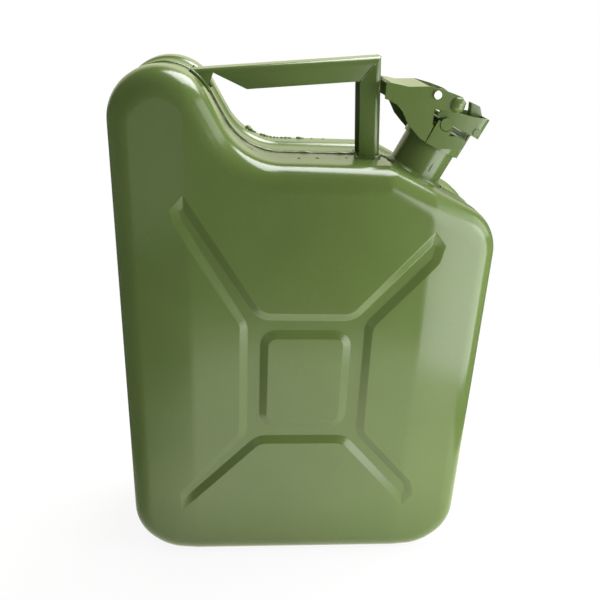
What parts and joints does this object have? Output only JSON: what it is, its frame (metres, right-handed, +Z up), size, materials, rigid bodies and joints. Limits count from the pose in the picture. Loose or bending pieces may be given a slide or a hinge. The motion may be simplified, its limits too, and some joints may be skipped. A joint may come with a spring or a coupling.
{
  "type": "fuel can",
  "caption": "Pressed-steel fuel can with a welded seam, a channel carrying handle and a tilted filler neck closed by a hinged cap with a cam lever.",
  "frame": {"origin": "centre of the can's bounding box at the floor", "axes": "+Z up the can, +X from the hump to the filler neck, +Y from the front panel to the back panel"},
  "size_m": [0.27, 0.126, 0.3965],
  "materials": {
    "paint": "gloss",
    "zinc": "satin",
    "rubber": "matte"
  },
  "bodies": {
    "can": {"front_shell": "paint", "back_shell": "paint", "seam_weld": "paint", "handle_bar": "paint", "handle_leg": "paint", "mitre_weld": "paint", "hump_weld": "paint", "foot_weld": "paint", "filler_neck": "paint", "neck_weld": "paint", "neck_collar": "paint", "vent_tube": "zinc", "vent_clip": "zinc", "hinge_pins": "paint"},
    "cap": {"cap_bail": "paint", "bail_lug": "paint", "cap_cover": "paint", "cap_gasket": "rubber", "gasket_plate": "zinc", "cap_rivet": "paint", "cap_trunnions": "paint", "pivot_pin": "paint", "pivot_spacers": "paint"},
    "lever": {"cap_lever": "paint", "press_pin": "zinc"}
  },
  "joints": [
    {"name": "cap_hinge", "type": "hinge", "parent": "can", "child": "cap", "pos_m": [0.11797, 0, 0.3481], "axis": [0, 1, 0], "range_deg": [0, 110]},
    {"name": "lever_pivot", "type": "hinge", "parent": "cap", "child": "lever", "pos_m": [0.10029, 0, 0.36706], "axis": [0, 1, 0], "range_deg": [0, 75]}
  ]
}
